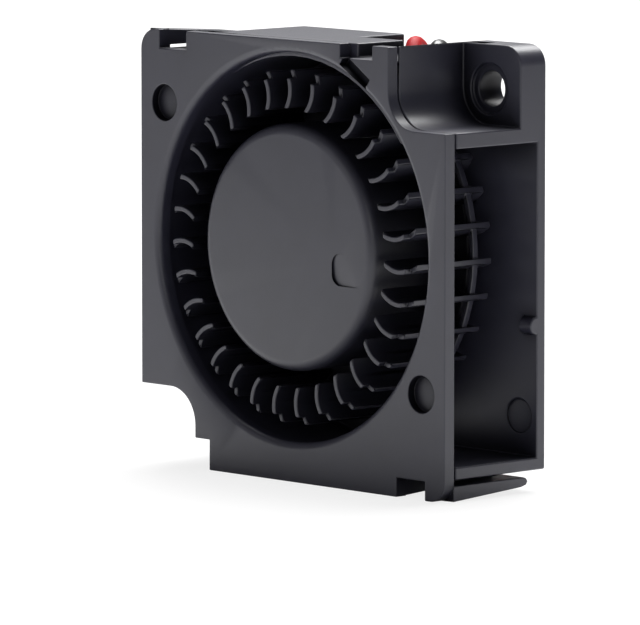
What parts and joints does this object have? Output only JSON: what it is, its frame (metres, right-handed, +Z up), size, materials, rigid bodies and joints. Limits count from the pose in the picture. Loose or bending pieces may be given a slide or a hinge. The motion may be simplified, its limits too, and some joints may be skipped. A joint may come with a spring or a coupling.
{
  "type": "dc blower fan",
  "caption": "Small square centrifugal dc blower with a round front inlet, an open side outlet, a curved-blade impeller, corner mounting ears and leads that end in a connector.",
  "frame": {"origin": "middle of the casing's base, on the surface that the blower stands on", "axes": "+Z up; the front cover with the inlet faces -Y; the outlet faces +X"},
  "size_m": [0.033, 0.0264, 0.03],
  "materials": {
    "casing_plastic": "satin moulded",
    "impeller_plastic": "satin moulded",
    "sintered_bronze": "oiled sintered",
    "white_plastic": "moulded",
    "motor_steel": "pressed",
    "shaft_steel": "ground",
    "magnet_ferrite": "bonded ferrite",
    "copper_winding": "enamelled wire",
    "board_laminate": "solder mask",
    "chip_resin": "moulded resin",
    "ceramic_tan": "fired ceramic",
    "tinned_metal": "tinned",
    "red_insulation": "extruded",
    "black_insulation": "extruded",
    "connector_nylon": "natural nylon"
  },
  "bodies": {
    "casing": {"rear_housing": "casing_plastic", "front_cover": "casing_plastic", "bearing_sleeve": "sintered_bronze", "thrust_pad": "white_plastic", "stator_core": "motor_steel", "front_insulator": "white_plastic", "rear_insulator": "white_plastic", "coil_right": "copper_winding", "coil_top": "copper_winding", "coil_left": "copper_winding", "coil_bottom": "copper_winding", "circuit_board": "board_laminate", "hall_sensor": "chip_resin", "driver_chip": "chip_resin", "capacitor": "ceramic_tan", "terminal_pins": "tinned_metal", "lead_solder_joints": "tinned_metal", "red_lead": "red_insulation", "black_lead": "black_insulation", "lead_coil": "red_insulation", "red_lead_tail": "red_insulation", "black_lead_tail": "black_insulation", "lead_tie": "black_insulation", "connector_housing": "connector_nylon", "connector_contacts": "tinned_metal"},
    "rotor": {"impeller": "impeller_plastic", "rotor_yoke": "motor_steel", "ring_magnet": "magnet_ferrite", "shaft": "shaft_steel", "thrust_washer": "white_plastic", "retaining_ring": "shaft_steel"}
  },
  "joints": [
    {"name": "rotor_spin", "type": "hinge", "parent": "casing", "child": "rotor", "pos_m": [-0.00055, 0, 0.01585], "axis": [0, -1, 0], "continuous": true}
  ]
}
